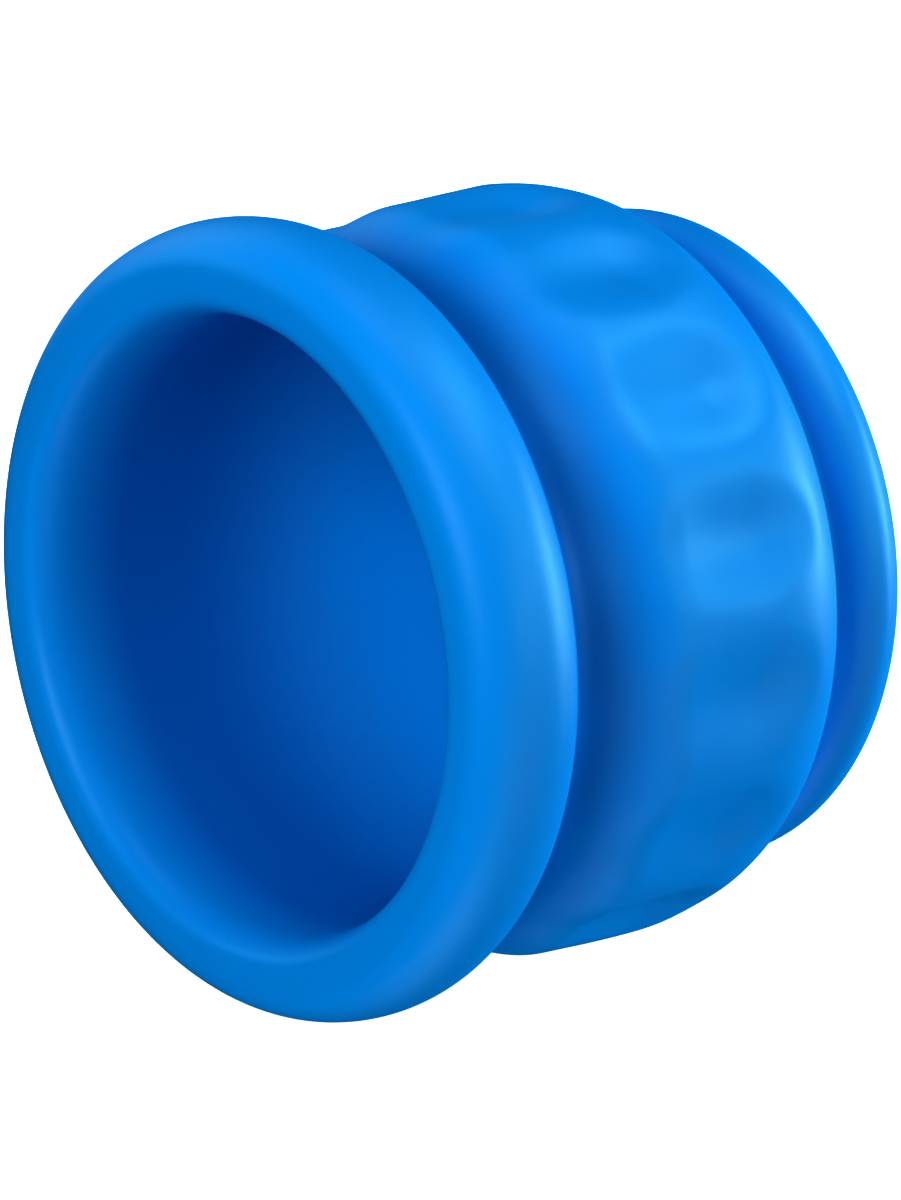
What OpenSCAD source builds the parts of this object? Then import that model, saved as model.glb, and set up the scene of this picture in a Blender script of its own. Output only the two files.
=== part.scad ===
// Pipette filler bulb: an open-mouthed silicone squeeze bulb with a rolled
// front lip and a ring of finger dimples. A clear disc with a small screw-down
// pipette head snaps into the groove of its rear opening.
//
// Frame: millimetres. The axis of the bulb lies along Y, the open mouth faces
// -Y and the pipette socket faces +Y. The origin is the centre of the mouth
// of the pipette socket. +Z is up, with the first finger dimple on top.
//
// Distances along the axis are given as stations, counted from the middle
// plane of the front lip towards the pipette socket.

/* [Bulb] */
// Outer radius of the front lip
lip_r = 28; // [27.5:0.1:28.5]
// Radial thickness of the rolled front lip
lip_t = 6.33; // [6.1:0.01:6.5]
// Half-length of the front lip along the axis
lip_half = 4.6; // [4.3:0.1:4.8]
// Outer radius at the bottom of the neck groove
neck_r = 24.2; // [24:0.1:24.5]
// Outer radius of the grip belt at its crown
belt_r = 26.85; // [26.6:0.05:27]
// Station where the belt begins to fall away to the rear groove
belt_end = 22.7; // [22.4:0.1:23]
// Outer radius of the rear lip
rear_r = 23.45; // [23.3:0.05:23.7]
// Station of the rear face of the bulb
rear_end = 38; // [37.9:0.1:38.2]
// Radius of the rear opening
rear_hole_r = 19; // [18.9:0.1:19.1]

/* [Finger dimples] */
// Number of dimples round the belt
dimple_n = 15; // [12:1:16]
// Angle of the first dimple from the top, towards +X
dimple_phase = 1; // [-12:1:12]
// Depth of a dimple below the belt's crown
dimple_depth = 1.1; // [0.6:0.1:1.4]
// Width of a dimple round the belt
dimple_w = 8; // [6:0.5:8.5]
// Length of a dimple along the axis
dimple_len = 12.6; // [10:0.2:13]
// Station of the middle of the dimples
dimple_mid = 18.9; // [18:0.1:19.5]

/* [Pipette socket] */
// Radius of the socket bore
socket_r = 3.8; // [3.4:0.1:4]
// Length of the straight part of the socket bore
socket_len = 6; // [5:0.5:7]

/* [Head] */
// Thickness of the clear end disc
disc_t = 2; // [1.8:0.1:2]
// Outer radius of the valve body's flange inside the bulb
flange_r = 12; // [11.5:0.1:13]
// Outer radius of the lock nut
nut_r = 13.4; // [12.5:0.1:14]
// Outer radius of the nose cone's grip collar
collar_r = 11.2; // [10.8:0.1:11.4]
// Number of grip flutes on the lock nut
nut_flutes = 20; // [12:2:24]
// Number of grip flutes on the nose cone's collar
collar_flutes = 18; // [12:2:20]

/* [Liquid stop] */
// Radius of the float ball
ball_r = 2.8; // [2.7:0.05:2.8]
// Free travel of the float ball
ball_travel = 2; // [1.6:0.1:2]

/* [Hidden] */
$fn = 96;
eps = 0.01;

socket_st = 47.5;                     // station of the socket mouth, the origin
throat_r = lip_r - lip_t;             // radius of the open mouth
lip_mid_r = lip_r - lip_t / 2;        // radius of the middle of the lip
belt_front = belt_r - 0.22;           // belt radius at the front of its crown

groove_st = 34.4;                     // front face of the groove that holds the disc
groove_r = 20.4;                      // bottom of that groove
disc_back = groove_st + disc_t;       // rear face of the disc
neck_or = 10;                         // neck of the valve body
neck_end = 41.6;                      // rear end of that neck
gasket_t = 0.4;                       // gasket between flange and disc
bore_floor = 36.5;                    // floor of the bore that takes the nose cone
screw_r = 8.5;                        // that bore
fit_gap = 0.08;                       // running clearance of the nose cone
cage_st = 35.4;                       // front face of the ball cage
chamber_r = 4.7;                      // bore of the ball chamber
ball_rest = cage_st - 0.05 - ball_r;  // station of the resting ball's centre
seat_r = 2.1;                         // hole in the ball seat
seat_back = ball_rest - ball_travel - sqrt(ball_r * ball_r - seat_r * seat_r) - 0.03;
plate_st = 27.3;                      // back of the plate under the seat
cup_r = 7.8;                          // filter cup
cup_bore = 6.9;                       // bore of the filter cup
cap_st = 24.4;                        // front face of the filter cap

// Points of an ellipse arc as [radius, station]; 0 is outwards, 90 is rearwards
function arc(cr, cs, b, a, t0, t1, n) =
    [for (i = [0:n]) let(t = t0 + (t1 - t0) * i / n) [cr + b * cos(t), cs + a * sin(t)]];
// Points of a smooth step from [r0, s0] to [r1, s1]
function step(r0, s0, r1, s1, n) =
    [for (i = [0:n]) let(k = i / n) [r0 + (r1 - r0) * k * k * (3 - 2 * k), s0 + (s1 - s0) * k]];

// Puts a shape that is built along +Z from station st onto the bulb's axis
module at(st) { translate([0, st - socket_st, 0]) rotate([-90, 0, 0]) children(); }
// A solid of revolution from [radius, station] points
module turned(pts) { at(0) rotate_extrude() polygon(pts); }
// A straight drilled hole from station a to station b
module hole(r, a, b) { at(a) cylinder(r = r, h = b - a); }
// Grip flutes round a ring
module flutes(n, r, cut, a, b) {
    for (i = [0:n - 1]) rotate([0, i * 360 / n, 0])
        translate([r, a - socket_st, 0]) rotate([-90, 0, 0]) cylinder(r = cut, h = b - a, $fn = 24);
}

// ---- Silicone squeeze bulb, one moulding ----
outline = concat(
    // inner corner of the lip, from the front edge to the throat
    arc(throat_r + 1.8, 3.3 - lip_half, -1.8, 3.3, -90, 0, 9),
    // cavity: straight throat, then a gentle taper to the rear opening
    step(throat_r, 20, rear_hole_r, 32.4, 6),
    // groove that holds the disc
    [[rear_hole_r, groove_st], [groove_r, groove_st], [groove_r, disc_back], [rear_hole_r, disc_back],
     [rear_hole_r, rear_end - 0.3]],
    // rear lip
    arc(rear_r - 4.2, rear_end - 3.5, 4.2, 3.5, 90, -50, 12),
    // rear groove
    [[21.85, 31.5], [21.8, 31.1], [22, 30.5]],
    // rear shoulder and crown of the belt
    arc(belt_r - 2.7, belt_end, 2.7, 6.3, 88, 0, 8),
    step(belt_front, 14.8, neck_r, 8.2, 8),
    // neck groove and outer half of the front lip
    step(neck_r, 6.8, lip_mid_r + lip_t / 2 * cos(76), lip_half * sin(76), 4),
    arc(lip_mid_r, 0, lip_t / 2, lip_half, 70, -84, 16)
);

// One oval dimple cutter at the top of the belt, a slice of a ring
dimple_tube = dimple_w * dimple_w / 8 / (dimple_depth - dimple_w * dimple_w / 8 / belt_r);
dimple_bend = dimple_len * dimple_len / 8 / dimple_depth + 6;
module dimple() {
    translate([0, dimple_mid - socket_st, 0]) intersection() {
        translate([0, 0, belt_r - dimple_depth + dimple_bend]) rotate([0, 90, 0])
            rotate_extrude() translate([dimple_bend - dimple_tube, 0]) circle(r = dimple_tube);
        translate([-5, -9, belt_r - dimple_depth - 1]) cube([10, 18, dimple_depth + 1.6]);
    }
}

module squeeze_bulb() {
    color("dodgerblue") difference() {
        turned(outline);
        for (i = [0:dimple_n - 1]) rotate([0, dimple_phase + i * 360 / dimple_n, 0]) dimple();
    }
}

// ---- Clear disc that closes the rear opening, held in the bulb's groove ----
module end_disc() {
    color("aliceblue", 0.4) difference() {
        turned([
            [0, groove_st + 0.03], [groove_r - 0.4, groove_st + 0.03], [groove_r - 0.04, groove_st + 0.4],
            [groove_r - 0.04, disc_back - 0.4], [groove_r - 0.4, disc_back - 0.03], [0, disc_back - 0.03]
        ]);
        hole(neck_or + 0.1, groove_st, disc_back);
    }
}

// ---- Gasket between the valve body's flange and the disc ----
module disc_gasket() {
    color("black") difference() {
        hole(flange_r - 0.2, groove_st + 0.03 - gasket_t, groove_st + 0.03);
        hole(neck_or + 0.1, groove_st - 1, groove_st + 1);
    }
}

// ---- Valve body: filter cup and ball chamber inside, threaded neck outside ----
module valve_body() {
    color("white") difference() {
        turned([
            [0, 24.9], [cup_r - 0.4, 24.9], [cup_r, 25.3], [cup_r, 28.2], [6.6, 29.4],
            [6.6, 31.6], [7.2, 32.2], [flange_r - 0.5, 32.2], [flange_r, 32.7], [flange_r, groove_st + 0.03 - gasket_t],
            [neck_or, groove_st + 0.03 - gasket_t], [neck_or, neck_end - 0.4], [neck_or - 0.4, neck_end], [0, neck_end]
        ]);
        hole(cup_bore, 24.9 - eps, plate_st - 0.8);
        hole(seat_r + 0.1, 26, plate_st + eps);
        hole(chamber_r, plate_st, bore_floor + eps);
        hole(screw_r, bore_floor, neck_end + eps);
    }
}

// ---- Ring nut that clamps the valve body to the disc ----
module lock_nut() {
    color("royalblue") difference() {
        turned([
            [neck_or + 0.05, disc_back - 0.01], [nut_r - 0.3, disc_back - 0.01], [nut_r, disc_back + 0.3],
            [nut_r, 38.4], [nut_r - 0.7, 39.1], [neck_or + 0.4, 39.1], [neck_or + 0.05, 38.8]
        ]);
        flutes(nut_flutes, nut_r + 0.5, 1, disc_back - 0.1, 39.3);
    }
}

// ---- Nose cone: screws into the valve body and traps the pipette adapter ----
module nose_cone() {
    color("royalblue") difference() {
        turned([
            [0, 37], [screw_r - fit_gap - 0.3, 37], [screw_r - fit_gap, 37.3], [screw_r - fit_gap, 42],
            [collar_r - 0.4, 42], [collar_r, 42.4], [collar_r, 43.8], [collar_r - 0.5, 44.3],
            [9.6, 44.6], [7.7, 47], [7.3, 47.3], [0, 47.3]
        ]);
        hole(7.65, 37 - eps, 38.75);
        hole(6.3, 38, 48);
        flutes(collar_flutes, collar_r + 0.4, 0.9, 41.99, 44.4);
        // groove of the sealing ring
        at(40.2) rotate_extrude() translate([7.05, -0.75]) square([3, 1.5]);
    }
}

module nose_oring() {
    color("black") at(40.2) rotate_extrude() translate([screw_r - 0.04 - 0.68, 0]) circle(r = 0.68);
}

// ---- Silicone adapter that grips the pipette ----
module pipette_adapter() {
    color("dodgerblue") difference() {
        turned([
            [0, 36.6], [7.4, 36.6], [7.4, 38.6], [6.1, 38.7], [6.1, 46.9], [5.6, socket_st], [0, socket_st]
        ]);
        hole(socket_r, socket_st - socket_len, socket_st + eps);
        turned([[0, 36.5], [2.2, 36.5], [2.2, 39.2], [socket_r, socket_st - socket_len + eps], [0, socket_st - socket_len + eps]]);
        // lead-in chamfer round the mouth
        turned([[0, socket_st - 0.4], [socket_r, socket_st - 0.4], [socket_r + 0.5, socket_st + eps], [0, socket_st + eps]]);
    }
}

// ---- Liquid stop: cage, float ball and seat ----
module ball_cage() {
    color("white") difference() {
        at(cage_st) cylinder(r = chamber_r - 0.03, h = 1);
        hole(0.8, cage_st - eps, cage_st + 1 + eps);
        for (i = [0:5]) rotate([0, i * 60, 0])
            translate([2.9, cage_st - eps - socket_st, 0]) rotate([-90, 0, 0]) cylinder(r = 0.85, h = 1 + 2 * eps);
    }
}
module float_ball() {
    color("white") translate([0, ball_rest - socket_st, 0]) sphere(r = ball_r);
}
module ball_seat() {
    color("dimgray") difference() {
        hole(chamber_r - 0.03, plate_st, seat_back);
        hole(seat_r, plate_st - eps, seat_back + eps);
    }
}

// ---- Filter in front of the liquid stop ----
module filter_disc() {
    color("white") at(25.5) cylinder(r = cup_bore - 0.1, h = 0.98);
}
module filter_cap() {
    color("aliceblue") difference() {
        union() {
            at(cap_st) cylinder(r1 = cup_r - 0.4, r2 = cup_r, h = 0.48);
            hole(cup_bore - 0.04, cap_st + 0.4, 25.48);
        }
        hole(1, cap_st - eps, 25.6);
        for (i = [0:7]) rotate([0, i * 45, 0])
            translate([4.3, cap_st - eps - socket_st, 0]) rotate([-90, 0, 0]) cylinder(r = 1.1, h = 1.2);
    }
}

squeeze_bulb();
end_disc();
disc_gasket();
valve_body();
lock_nut();
nose_cone();
nose_oring();
pipette_adapter();
ball_cage();
float_ball();
ball_seat();
filter_disc();
filter_cap();
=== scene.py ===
"""Looks of the pipette filler bulb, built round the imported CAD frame. Metres, same frame as the CAD."""

import math

import bpy
import numpy as np
from mathutils import Matrix, Vector


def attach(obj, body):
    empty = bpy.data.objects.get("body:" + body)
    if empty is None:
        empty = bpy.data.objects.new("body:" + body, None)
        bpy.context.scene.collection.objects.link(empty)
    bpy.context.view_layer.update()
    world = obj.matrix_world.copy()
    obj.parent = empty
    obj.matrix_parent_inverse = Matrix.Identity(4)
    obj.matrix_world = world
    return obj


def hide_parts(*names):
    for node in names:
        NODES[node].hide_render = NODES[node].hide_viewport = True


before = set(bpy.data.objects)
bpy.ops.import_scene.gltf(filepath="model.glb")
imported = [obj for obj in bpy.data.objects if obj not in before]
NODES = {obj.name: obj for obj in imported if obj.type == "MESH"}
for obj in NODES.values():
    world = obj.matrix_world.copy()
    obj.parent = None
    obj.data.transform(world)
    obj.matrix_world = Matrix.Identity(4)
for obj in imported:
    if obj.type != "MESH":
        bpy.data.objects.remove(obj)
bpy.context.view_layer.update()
SCENE = bpy.context.scene

MM = 0.001
SOCKET_ST = 47.5  # station of the origin, mm behind the middle of the front lip


# ------------------------------------------------------------------ helpers
def collection_link(o):
    SCENE.collection.objects.link(o)
    return o


def smooth(x, a, b):
    """0 below a, 1 above b, smooth in between."""
    t = np.clip((np.asarray(x, float) - a) / (b - a), 0, 1)
    return t * t * (3 - 2 * t)


def resample(pts, n):
    """n points evenly spaced along a closed polyline."""
    p = np.vstack([pts, pts[:1]])
    seg = np.hypot(*np.diff(p, axis=0).T)
    s = np.concatenate([[0], np.cumsum(seg)])
    t = np.linspace(0, s[-1], n, endpoint=False)
    return np.stack([np.interp(t, s, p[:, k]) for k in (0, 1)], 1)


def relax(p, passes, w=0.5):
    """Rounds off what kinks are left in a closed, evenly spaced polyline."""
    for _ in range(passes):
        p = p * (1 - w) + (np.roll(p, 1, 0) + np.roll(p, -1, 0)) * (w / 2)
    return p


def arc(cr, cs, b, a, t0, t1, n):
    t = np.radians(np.linspace(t0, t1, n))
    return np.stack([cr + b * np.cos(t), cs + a * np.sin(t)], 1)


def bez(p0, p1, p2, p3, n):
    t = np.linspace(0, 1, n)[:, None]
    p0, p1, p2, p3 = (np.array(q, float) for q in (p0, p1, p2, p3))
    return (1 - t) ** 3 * p0 + 3 * (1 - t) ** 2 * t * p1 + 3 * (1 - t) * t * t * p2 + t**3 * p3


def grid_mesh(name, P, closed_profile=True):
    """P[i, j] = point i of the profile at angle j, in millimetres; both directions wrap."""
    n, m = P.shape[:2]
    me = bpy.data.meshes.new(name)
    idx = np.arange(n * m).reshape(n, m)
    rows = n if closed_profile else n - 1
    a = idx[:rows]
    b = idx[(np.arange(rows) + 1) % n]
    quads = np.stack([a, b, np.roll(b, -1, 1), np.roll(a, -1, 1)], -1).reshape(-1, 4)
    v = P.reshape(-1, 3)[quads]
    if (np.cross(v[:, 0] - v[:, 2], v[:, 1] - v[:, 3]) * v.mean(1)).sum() < 0:
        quads = quads[:, ::-1]
    me.from_pydata((P.reshape(-1, 3) * MM).tolist(), [], quads.tolist())
    me.update()
    for p in me.polygons:
        p.use_smooth = True
    o = bpy.data.objects.new(name, me)
    return collection_link(o)


# ------------------------------------------------------------------ the silicone bulb
LIP_R, LIP_B, LIP_A = 28.0, 3.165, 4.6
LIP_MID = LIP_R - LIP_B
THROAT = LIP_R - 2 * LIP_B
NECK_R = 24.2
BELT_R, BELT_FRONT, BELT_END = 26.85, 26.63, 22.7
REAR_R, REAR_B, REAR_END = 23.45, 4.2, 38.0
HOLE_R, GROOVE_R, GROOVE_ST, DISC_BACK = 19.0, 20.4, 34.4, 36.4
DIMPLES, PHASE = 15, math.radians(1.0)


def bulb_profile():
    """Closed [radius, station] outline, walked from the front edge through the cavity to the rear and back outside."""
    rs = REAR_END - 3.5
    parts = [
        arc(THROAT + 1.8, -1.3, -1.8, 3.3, -90, 0, 60),  # inner corner of the lip
        bez((THROAT, -1.3), (THROAT, 8), (THROAT, 16), (THROAT, 19.5), 60),
        bez((THROAT, 19.5), (THROAT, 25), (HOLE_R, 27), (HOLE_R, 32.6), 60),
        bez((HOLE_R, 32.6), (HOLE_R, 33), (HOLE_R, 33.6), (HOLE_R, GROOVE_ST - 0.3), 10),
        arc(HOLE_R + 0.3, GROOVE_ST - 0.3, -0.3, 0.3, 0, 90, 8),
        bez((HOLE_R + 0.3, GROOVE_ST), (19.5, GROOVE_ST), (20.0, GROOVE_ST), (GROOVE_R - 0.2, GROOVE_ST), 8),
        arc(GROOVE_R - 0.2, GROOVE_ST + 0.2, 0.2, 0.2, -90, 0, 6),
        arc(GROOVE_R - 0.2, DISC_BACK - 0.2, 0.2, 0.2, 0, 90, 6),
        arc(HOLE_R + 0.3, DISC_BACK + 0.3, -0.3, 0.3, -90, 0, 8),
        bez((HOLE_R, DISC_BACK + 0.3), (HOLE_R, 36.9), (HOLE_R, 37.2), (HOLE_R, REAR_END - 0.3), 8),
        arc(HOLE_R + 0.3, REAR_END - 0.3, -0.3, 0.3, 0, 90, 8)[:-1],
        arc(REAR_R - REAR_B, rs, REAR_B, 3.5, 89, -50, 80),  # rear lip
        bez((21.95, 31.82), (21.72, 31.55), (21.68, 31.1), (21.95, 30.6), 16),
        bez((21.95, 30.6), (22.4, 29.75), (23.2, 29.15), (24.1, 29.0), 20),
        arc(BELT_R - 2.7, BELT_END, 2.7, 6.3, 89, 0, 70),  # rear shoulder of the belt
        bez((BELT_R, BELT_END), (BELT_R + 0.03, 20), (BELT_FRONT + 0.1, 17.5), (BELT_FRONT, 14.9), 50),
        bez((BELT_FRONT, 14.9), (26.4, 12.2), (24.5, 11.4), (NECK_R, 8.7), 50),
        bez((NECK_R, 8.7), (24.12, 7.6), (24.2, 6.2), (24.95, 5.05), 30),
        arc(LIP_MID, 0, LIP_B, LIP_A, 74, -90, 110),  # outer half of the lip
        bez((LIP_MID, -LIP_A), (24.5, -LIP_A), (24.0, -LIP_A), (THROAT + 1.8, -LIP_A), 16),
    ]
    pts = np.vstack(parts)
    keep = np.concatenate([[True], np.hypot(*np.diff(pts, axis=0).T) > 1e-6])
    pts = pts[keep]
    return relax(resample(pts, 480), 3)


def dimple_field(th, st):
    """Depth in mm of the finger dimples at angle th from the top towards +X, and station st: scoops that run in softly
    from the front and end in a steeper wall at the rear."""
    pitch = 2 * math.pi / DIMPLES
    off = (th - PHASE + pitch / 2) % pitch - pitch / 2
    u = np.abs(off) * 26.5 / (5.4 - 1.6 * smooth(st, 20.5, 26.5) - 2.0 * (1 - smooth(st, 9.5, 17.5)))
    across = 0.5 + 0.5 * np.cos(math.pi * np.clip(u, 0, 1))
    return 1.25 * across * smooth(st, 8.5, 21.5) * (1 - smooth(st, 20.8, 27.0))


def build_bulb():
    prof = bulb_profile()
    m = 480
    th = np.linspace(0, 2 * math.pi, m, endpoint=False)
    R = np.repeat(prof[:, :1], m, 1)
    S = np.repeat(prof[:, 1:], m, 1)
    T = np.repeat(th[None], len(prof), 0)
    outside = (prof[:, 0] > 22.6)[:, None] & (S > 8.3) & (S < 28)
    R = R - np.where(outside, dimple_field(T, S), 0)
    P = np.stack([R * np.sin(T), S - SOCKET_ST, R * np.cos(T)], -1)
    return grid_mesh("silicone_bulb", P)


# ------------------------------------------------------------------ materials
def material(name):
    mat = bpy.data.materials.new(name)
    mat.use_nodes = True
    nt = mat.node_tree
    bsdf = next(n for n in nt.nodes if n.type == "BSDF_PRINCIPLED")
    return mat, nt, bsdf


def rgb(r, g, b):
    """sRGB 0-255 to a linear colour."""
    f = lambda c: (c / 255 / 12.92) if c / 255 <= 0.04045 else ((c / 255 + 0.055) / 1.055) ** 2.4
    return (f(r), f(g), f(b), 1.0)


def coords(nt):
    return nt.nodes.new("ShaderNodeTexCoord").outputs["Object"]


def noise(nt, vec, scale, detail=3.0, rough=0.5):
    n = nt.nodes.new("ShaderNodeTexNoise")
    n.inputs["Scale"].default_value = scale
    n.inputs["Detail"].default_value = detail
    n.inputs["Roughness"].default_value = rough
    nt.links.new(vec, n.inputs["Vector"])
    return n.outputs["Fac"]


def ramp(nt, fac, stops):
    r = nt.nodes.new("ShaderNodeValToRGB")
    el = r.color_ramp.elements
    while len(el) < len(stops):
        el.new(0.5)
    for e, (pos, col) in zip(el, stops):
        e.position = pos
        e.color = col
    nt.links.new(fac, r.inputs["Fac"])
    return r.outputs["Color"]


def mapped(nt, fac, lo, hi, a=0.0, b=1.0):
    r = nt.nodes.new("ShaderNodeMapRange")
    r.inputs["From Min"].default_value = a
    r.inputs["From Max"].default_value = b
    r.inputs["To Min"].default_value = lo
    r.inputs["To Max"].default_value = hi
    nt.links.new(fac, r.inputs["Value"])
    return r.outputs["Result"]


def bump(nt, heights, bsdf):
    """heights: list of (socket, distance in m, strength), chained."""
    prev = None
    for h, dist, strength in heights:
        b = nt.nodes.new("ShaderNodeBump")
        b.inputs["Distance"].default_value = dist
        b.inputs["Strength"].default_value = strength
        nt.links.new(h, b.inputs["Height"])
        if prev is not None:
            nt.links.new(prev, b.inputs["Normal"])
        prev = b.outputs["Normal"]
    nt.links.new(prev, bsdf.inputs["Normal"])


def math_node(nt, op, a, b=None):
    m = nt.nodes.new("ShaderNodeMath")
    m.operation = op
    for i, v in enumerate((a, b)):
        if v is None:
            continue
        if isinstance(v, (int, float)):
            m.inputs[i].default_value = v
        else:
            nt.links.new(v, m.inputs[i])
    return m.outputs[0]


def fade(nt, fac, lo, hi):
    r = nt.nodes.new("ShaderNodeMapRange")
    r.interpolation_type = "SMOOTHSTEP"
    r.inputs["From Min"].default_value = lo
    r.inputs["From Max"].default_value = hi
    nt.links.new(fac, r.inputs["Value"])
    return r.outputs["Result"]


def painted_shade_zones(nt, vec):
    """1 in the neck groove outside and just inside the mouth: painted shade, where the colour is darkened and the
    specular level cut to stand in for the shade that falls in these recesses.
    """
    sep = nt.nodes.new("ShaderNodeSeparateXYZ")
    nt.links.new(vec, sep.inputs[0])
    x, y, z = (sep.outputs[k] for k in "XYZ")
    r = math_node(nt, "SQRT", math_node(nt, "ADD", math_node(nt, "MULTIPLY", x, x), math_node(nt, "MULTIPLY", z, z)))
    outside = fade(nt, r, 0.0220, 0.0226)
    groove = math_node(nt, "MULTIPLY", fade(nt, y, -0.0445, -0.0420), fade(nt, y, -0.0340, -0.0405))
    mouth = math_node(nt, "MULTIPLY", fade(nt, y, -0.0500, -0.0440), fade(nt, y, -0.0240, -0.0400))
    return math_node(
        nt, "ADD", math_node(nt, "MULTIPLY", outside, groove),
        math_node(nt, "MULTIPLY", math_node(nt, "SUBTRACT", 1.0, outside), mouth),
    )


def mixed(nt, fac, a, b):
    m = nt.nodes.new("ShaderNodeMix")
    m.data_type = "RGBA"
    nt.links.new(fac, m.inputs["Factor"])
    for sock, v in zip((m.inputs[6], m.inputs[7]), (a, b)):
        if isinstance(v, tuple):
            sock.default_value = v
        else:
            nt.links.new(v, sock)
    return m.outputs[2]


def silicone(name, dark, light, rough=(0.36, 0.42), sss=0.0, spec=0.5, groove=None):
    """groove: colour of the painted shade in the neck groove and just inside the mouth, if there is any."""
    mat, nt, bsdf = material(name)
    v = coords(nt)
    big = noise(nt, v, 38, 3, 0.55)
    colour = ramp(nt, big, [(0.3, dark), (0.7, light)])
    r = mapped(nt, noise(nt, v, 120, 4, 0.6), rough[0], rough[1], 0.3, 0.7)
    bsdf.inputs["Specular IOR Level"].default_value = spec
    if groove:
        # painted shade: darkens the neck groove and the inside of the mouth, and cuts the specular there to hold back
        # highlights
        g = painted_shade_zones(nt, v)
        colour = mixed(nt, g, colour, groove)
        nt.links.new(mapped(nt, g, spec, 0.05), bsdf.inputs["Specular IOR Level"])
    nt.links.new(colour, bsdf.inputs["Base Color"])
    nt.links.new(r, bsdf.inputs["Roughness"])
    fine = noise(nt, v, 900, 4, 0.6)
    bump(nt, [(fine, 0.00003, 0.3), (noise(nt, v, 210, 3, 0.5), 0.00008, 0.1)], bsdf)
    bsdf.inputs["Subsurface Weight"].default_value = sss
    bsdf.inputs["Subsurface Radius"].default_value = (0.15, 0.5, 1.0)
    bsdf.inputs["Subsurface Scale"].default_value = 0.002
    bsdf.inputs["IOR"].default_value = 1.41
    return mat


def plastic(name, dark, light, rough=(0.3, 0.42), transmission=0.0, sss=0.0, grain=600):
    mat, nt, bsdf = material(name)
    v = coords(nt)
    nt.links.new(ramp(nt, noise(nt, v, 60, 3), [(0.3, dark), (0.7, light)]), bsdf.inputs["Base Color"])
    nt.links.new(mapped(nt, noise(nt, v, 160, 4), rough[0], rough[1], 0.3, 0.7), bsdf.inputs["Roughness"])
    bump(nt, [(noise(nt, v, grain, 4, 0.6), 0.00005, 0.4)], bsdf)
    bsdf.inputs["IOR"].default_value = 1.49
    bsdf.inputs["Transmission Weight"].default_value = transmission
    if sss:
        bsdf.inputs["Subsurface Weight"].default_value = sss
        bsdf.inputs["Subsurface Radius"].default_value = (1.0, 1.0, 1.0)
        bsdf.inputs["Subsurface Scale"].default_value = 0.0015
    return mat


def clear(name, tint, tint2):
    """Clear plastic sheet: mostly lets light straight through, with a glossy skin."""
    mat, nt, bsdf = material(name)
    v = coords(nt)
    nt.links.new(ramp(nt, noise(nt, v, 50, 2), [(0.3, tint), (0.7, tint2)]), bsdf.inputs["Base Color"])
    nt.links.new(mapped(nt, noise(nt, v, 140, 3), 0.04, 0.1, 0.3, 0.7), bsdf.inputs["Roughness"])
    bump(nt, [(noise(nt, v, 90, 2, 0.5), 0.00004, 0.15)], bsdf)
    bsdf.inputs["IOR"].default_value = 1.45
    bsdf.inputs["Alpha"].default_value = 0.14
    return mat


def rubber(name, dark, light):
    mat, nt, bsdf = material(name)
    v = coords(nt)
    nt.links.new(ramp(nt, noise(nt, v, 150, 4), [(0.3, dark), (0.7, light)]), bsdf.inputs["Base Color"])
    nt.links.new(mapped(nt, noise(nt, v, 300, 4), 0.45, 0.65, 0.3, 0.7), bsdf.inputs["Roughness"])
    bump(nt, [(noise(nt, v, 1200, 4, 0.6), 0.00003, 0.4)], bsdf)
    return mat


def membrane(name):
    mat, nt, bsdf = material(name)
    v = coords(nt)
    nt.links.new(ramp(nt, noise(nt, v, 900, 5, 0.7), [(0.25, rgb(225, 226, 222)), (0.75, rgb(246, 246, 243))]), bsdf.inputs["Base Color"])
    bsdf.inputs["Roughness"].default_value = 0.9
    bump(nt, [(noise(nt, v, 2200, 5, 0.7), 0.00006, 0.6)], bsdf)
    return mat


# the groove colour is painted shade for the neck groove and the inside of the mouth
M_BULB = silicone("blue_silicone", rgb(0, 146, 227), rgb(0, 150, 231), groove=rgb(0, 113, 200))
M_ADAPT = silicone("adapter_silicone", rgb(1, 112, 214), rgb(2, 118, 222), (0.45, 0.55))
M_CLEAR = clear("clear_pc", rgb(150, 165, 175), rgb(160, 174, 184))
M_WHITE = plastic("white_pp", rgb(222, 224, 222), rgb(236, 238, 236), (0.3, 0.42), sss=0.15)
M_BLUE = plastic("blue_pp", rgb(4, 62, 150), rgb(8, 72, 164), (0.3, 0.42))
M_SEAL = rubber("seal_rubber", rgb(20, 20, 22), rgb(34, 34, 36))
M_PTFE = membrane("filter_ptfe")


def dress(node, mat):
    o = NODES[node]
    o.data.materials.clear()
    o.data.materials.append(mat)
    return o


# ------------------------------------------------------------------ pieces
bulb = build_bulb()
bulb.data.materials.append(M_BULB)
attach(bulb, "bulb")
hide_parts("squeeze_bulb")


def lathe(name, node, body, mat, outline, n, m=240, soften=4, disp=None):
    """A ring-shaped piece turned from a closed [radius, station] outline, with softened edges and an optional radial relief."""
    prof = relax(resample(np.array(outline, float), n), soften)
    th = np.linspace(0, 2 * math.pi, m, endpoint=False)
    R = np.repeat(prof[:, :1], m, 1)
    S = np.repeat(prof[:, 1:], m, 1)
    if disp is not None:
        R = R + disp(R, S, np.repeat(th[None], len(prof), 0))
    o = grid_mesh(name, np.stack([R * np.sin(th), S - SOCKET_ST, R * np.cos(th)], -1))
    o.data.materials.append(mat)
    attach(o, body)
    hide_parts(node)
    return o


def band(S, a, b, soft=0.3):
    """1 between stations a and b, fading out over soft on both sides."""
    return smooth(S, a, a + soft) * (1 - smooth(S, b - soft, b))


def scallops(T, n, sharp=1.0):
    """n soft scallops round a full turn, 1 at the bottom of each."""
    return np.clip(0.5 + 0.5 * np.cos(n * T), 0, 1) ** sharp


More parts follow.
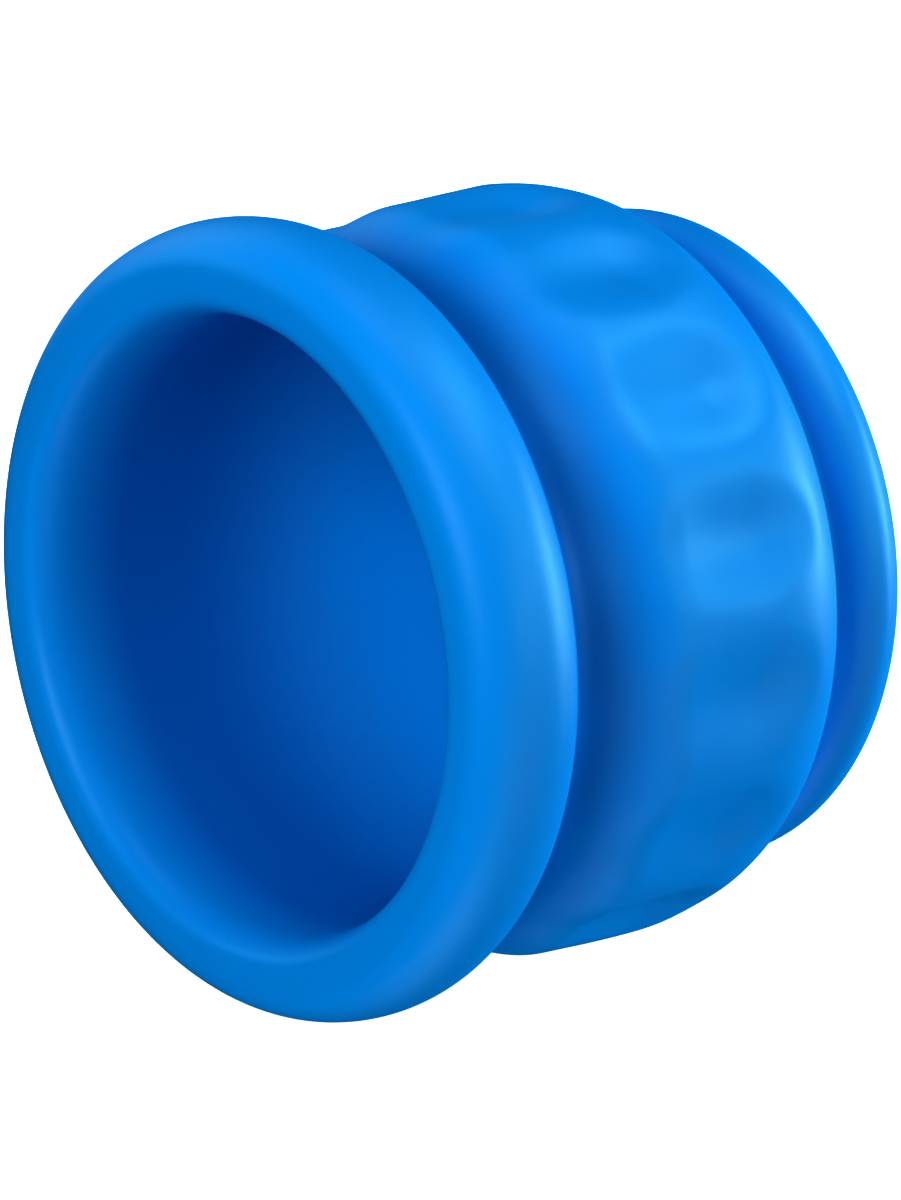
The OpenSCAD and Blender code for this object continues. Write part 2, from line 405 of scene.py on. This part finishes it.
def thread(T, S, pitch, width=0.42):
    """Rounded helical groove, 1 at its bottom."""
    x = (S / pitch - T / (2 * math.pi)) % 1.0
    d = np.minimum(x, 1 - x) / width
    return np.where(d < 1, 0.5 + 0.5 * np.cos(math.pi * np.clip(d, 0, 1)), 0)


lathe("clear_end_disc", "end_disc", "bulb", M_CLEAR, [
    (10.1, 34.43), (10.1, 36.37), (12.0, 36.37), (16.0, 36.37), (20.0, 36.37), (20.36, 36.0), (20.36, 34.8), (20.0, 34.43), (15.0, 34.43),
], 220, 256)

lathe("neck_gasket", "disc_gasket", "bulb", M_SEAL, [
    (10.1, 34.03), (10.1, 34.43), (11.8, 34.43), (11.8, 34.03),
], 60, 200, 2)


def valve_relief(R, S, T):
    out = np.zeros_like(R)
    neck = (R > 9.6) & (R < 10.3)
    out -= np.where(neck, 0.32 * thread(T, S, 1.5) * band(S, 36.7, 41.3), 0)  # thread of the lock nut
    bore = (R > 8.3) & (R < 8.7)
    out += np.where(bore, 0.35 * thread(T, S, 2.5) * band(S, 36.9, 41.3), 0)  # thread of the nose cone
    web = (R > 6.3) & (R < 7.0)
    out += np.where(web & (S > 29.0), 0.7 * scallops(T, 8, 6.0) * band(S, 29.5, 31.7), 0)  # stiffening ribs
    cup = (R > 7.5) & (R < 8.1)
    out -= np.where(cup & (S > 25.2), 0.25 * scallops(T, 32, 2.0) * band(S, 25.5, 28.1), 0)  # knurl of the filter cup
    return out


lathe("valve_body_moulding", "valve_body", "bulb", M_WHITE, [
    (6.9, 24.9), (6.9, 26.5), (2.2, 26.5), (2.2, 27.3), (4.7, 27.3), (4.7, 36.5), (8.5, 36.5), (8.5, 41.6),
    (9.7, 41.6), (10.0, 41.3), (10.0, 34.03), (12.0, 34.03), (12.0, 32.7), (11.5, 32.2), (7.2, 32.2), (6.6, 31.6),
    (6.6, 29.4), (7.8, 28.2), (7.8, 25.3), (7.4, 24.9),
], 620, 256, 2, valve_relief)


def nut_relief(R, S, T):
    grip = smooth(R, 11.4, 12.6)
    inner = (R < 10.3) & (S > 36.6)
    return -0.55 * scallops(T, 20, 2.2) * grip * smooth(S, 36.45, 36.9) + np.where(inner, 0.25 * thread(T, S, 1.5) * band(S, 36.8, 38.7), 0)


lathe("fluted_lock_nut", "lock_nut", "bulb", M_BLUE, [
    (10.05, 36.4), (10.05, 38.8), (10.4, 39.1), (11.6, 39.1), (11.8, 38.95), (12.2, 38.95), (12.4, 39.1), (12.8, 39.1),
    (13.4, 38.4), (13.4, 36.7), (13.1, 36.4),
], 200, 400, 3, nut_relief)


def nose_relief(R, S, T):
    out = np.zeros_like(R)
    spigot = (R > 8.2) & (R < 8.5) & (S < 39.4)
    out -= np.where(spigot, 0.35 * thread(T, S, 2.5) * band(S, 37.2, 39.35), 0)
    grip = smooth(R, 9.9, 10.8) * (S > 41.95) * (S < 44.6)
    out -= 0.55 * scallops(T, 18, 2.2) * grip * smooth(S, 42.0, 42.35)
    cone = (R > 7.9) & (R < 9.4) & (S > 44.7) & (S < 46.9)
    out -= np.where(cone, 0.14 * scallops(T, 36, 3.0) * band(S, 44.9, 46.7), 0)
    return out


lathe("nose_cone_moulding", "nose_cone", "nose", M_BLUE, [
    (7.65, 37.0), (7.65, 38.75), (6.3, 38.75), (6.3, 47.1), (6.5, 47.3), (7.3, 47.3), (7.7, 47.0), (8.6, 45.85),
    (9.6, 44.6), (10.7, 44.3), (11.2, 43.8), (11.2, 42.4), (10.8, 42.0), (8.42, 42.0), (8.42, 40.95), (7.05, 40.95),
    (7.05, 39.45), (8.42, 39.45), (8.42, 37.3), (8.12, 37.0),
], 480, 360, 2, nose_relief)

ring = arc(8.46 - 0.68, 40.2, 0.68, 0.68, 0, 360, 49)[:-1]
lathe("nose_sealing_ring", "nose_oring", "nose", M_SEAL, ring, 48, 200, 0)


def adapter_relief(R, S, T):
    out = np.zeros_like(R)
    for st in (42.6, 44.2, 45.8):  # sealing lips in the socket
        out -= np.where(R < 4.2, 0.12 * np.exp(-(((S - st) / 0.28) ** 2)), 0)
    return out


lathe("silicone_pipette_adapter", "pipette_adapter", "adapter", M_ADAPT, [
    (2.2, 36.6), (2.2, 39.2), (3.8, 41.5), (3.8, 47.1), (4.3, 47.5), (5.6, 47.5), (6.1, 46.9), (6.1, 38.7), (7.4, 38.6), (7.4, 36.6),
], 300, 220, 3, adapter_relief)

for n, mt in {
    "ball_cage": M_WHITE, "float_ball": M_WHITE, "ball_seat": M_SEAL, "filter_disc": M_PTFE, "filter_cap": M_WHITE,
}.items():
    dress(n, mt)

# ------------------------------------------------------------------ camera at the photographed angle
R = 0.028
AZ, EL, TX, TY, DIST, FPX = 0.89072, 0.17808, -0.02103, 0.00261, 19.631, 8013.7
sin_a = math.sin(AZ) * math.cos(EL)
a = math.asin(sin_a)
e = math.atan2(math.sin(EL), math.cos(AZ) * math.cos(EL))
right = Vector((math.cos(a), math.sin(a), 0))
fwd = Vector((-math.sin(a) * math.cos(e), math.cos(a) * math.cos(e), -math.sin(e)))
up = right.cross(fwd)
lip_centre = Vector((0, -SOCKET_ST * MM, 0))
cam_pos = lip_centre - (right * TX - up * TY + fwd) * (DIST * R)
cam_data = bpy.data.cameras.new("camera")
cam_data.sensor_fit = "AUTO"
cam_data.sensor_width = 36.0
cam_data.lens = FPX * 36.0 / 1200.0
cam_data.clip_start = 0.01
cam_data.clip_end = 50
cam = collection_link(bpy.data.objects.new("camera", cam_data))
rot = Matrix((right, up, -fwd)).transposed()
cam.matrix_world = Matrix.Translation(cam_pos) @ rot.to_4x4()
SCENE.camera = cam

# ------------------------------------------------------------------ floor and light
fm, fnt, fb = material("floor")
fnt.links.new(ramp(fnt, noise(fnt, coords(fnt), 3, 2), [(0.3, (0.86, 0.86, 0.86, 1)), (0.7, (0.88, 0.88, 0.88, 1))]), fb.inputs["Base Color"])
fb.inputs["Roughness"].default_value = 0.9
fb.inputs["Specular IOR Level"].default_value = 0.0
fb.inputs["Emission Color"].default_value = (1, 1, 1, 1)
fb.inputs["Emission Strength"].default_value = 1.0
fm.cycles.emission_sampling = "NONE"  # the floor shows white but lights nothing
fme = bpy.data.meshes.new("floor")
s = 6.0
fz = -0.0281
fme.from_pydata([(-s, -s, fz), (s, -s, fz), (s, s, fz), (-s, s, fz)], [], [(0, 1, 2, 3)])
floor = collection_link(bpy.data.objects.new("floor", fme))
fme.materials.append(fm)
floor.visible_glossy = False
floor.visible_diffuse = False
floor.visible_shadow = False

world = bpy.data.worlds.new("world")
SCENE.world = world
world.use_nodes = True
wnt = world.node_tree
bg = wnt.nodes["Background"]
bg.inputs["Color"].default_value = (1, 1, 1, 1)
bg.inputs["Strength"].default_value = 0.0  # all the light comes from the soft boxes
bg2 = wnt.nodes.new("ShaderNodeBackground")
bg2.inputs["Color"].default_value = (1, 1, 1, 1)
bg2.inputs["Strength"].default_value = 1.0
lp = wnt.nodes.new("ShaderNodeLightPath")
mx = wnt.nodes.new("ShaderNodeMixShader")
wnt.links.new(lp.outputs["Is Camera Ray"], mx.inputs[0])
wnt.links.new(bg.outputs[0], mx.inputs[1])
wnt.links.new(bg2.outputs[0], mx.inputs[2])
wnt.links.new(mx.outputs[0], wnt.nodes["World Output"].inputs["Surface"])
world.cycles_visibility.glossy = False


def area(name, az, el, power, shine, size=0.34, dist=0.6, target=(0, -0.028, 0)):
    """A soft box at azimuth az and elevation el in degrees round the object; azimuth 0 is in front of the mouth, 90 at +X.
    shine False gives only the matt part of the light, shine True only the highlights."""
    d = bpy.data.lights.new(name, "AREA")
    d.shape = "RECTANGLE"
    d.size = d.size_y = size
    d.energy = power
    d.color = (0.4, 1.0, 0.92) if shine else (1, 1, 1)
    o = collection_link(bpy.data.objects.new(name, d))
    t = Vector(target)
    A, E = math.radians(az), math.radians(el)
    p = t + Vector((math.sin(A) * math.cos(E), -math.cos(A) * math.cos(E), math.sin(E))) * dist
    o.location = p
    o.rotation_euler = (t - p).to_track_quat("-Z", "Y").to_euler()
    o.visible_camera = False
    o.visible_glossy = shine
    o.visible_diffuse = not shine
    return o


# soft boxes: azimuth, elevation, power in W
for az, el, w in [
    (170, 0, 6.2), (20, 20, 3.4), (-100, 20, 2.2), (0, -85, 1.5), (0, 85, 1.3),
    (60, -60, 0.6), (110, 60, 0.75), (110, -30, 0.45), (80, -30, 0.35), (115, 5, 0.4),
]:
    area("box", az, el, w, False)
for az, el, w in [
    (140, 60, 0.75), (100, 10, 0.45), (120, 50, 0.7), (125, 20, 0.5), (155, 5, 1.4), (160, 50, 0.6), (-60, 20, 0.25),
]:
    area("shine", az, el, w, True, 0.24)

SCENE.view_settings.view_transform = "Standard"
SCENE.view_settings.look = "None"
SCENE.view_settings.gamma = 1 / 1.3
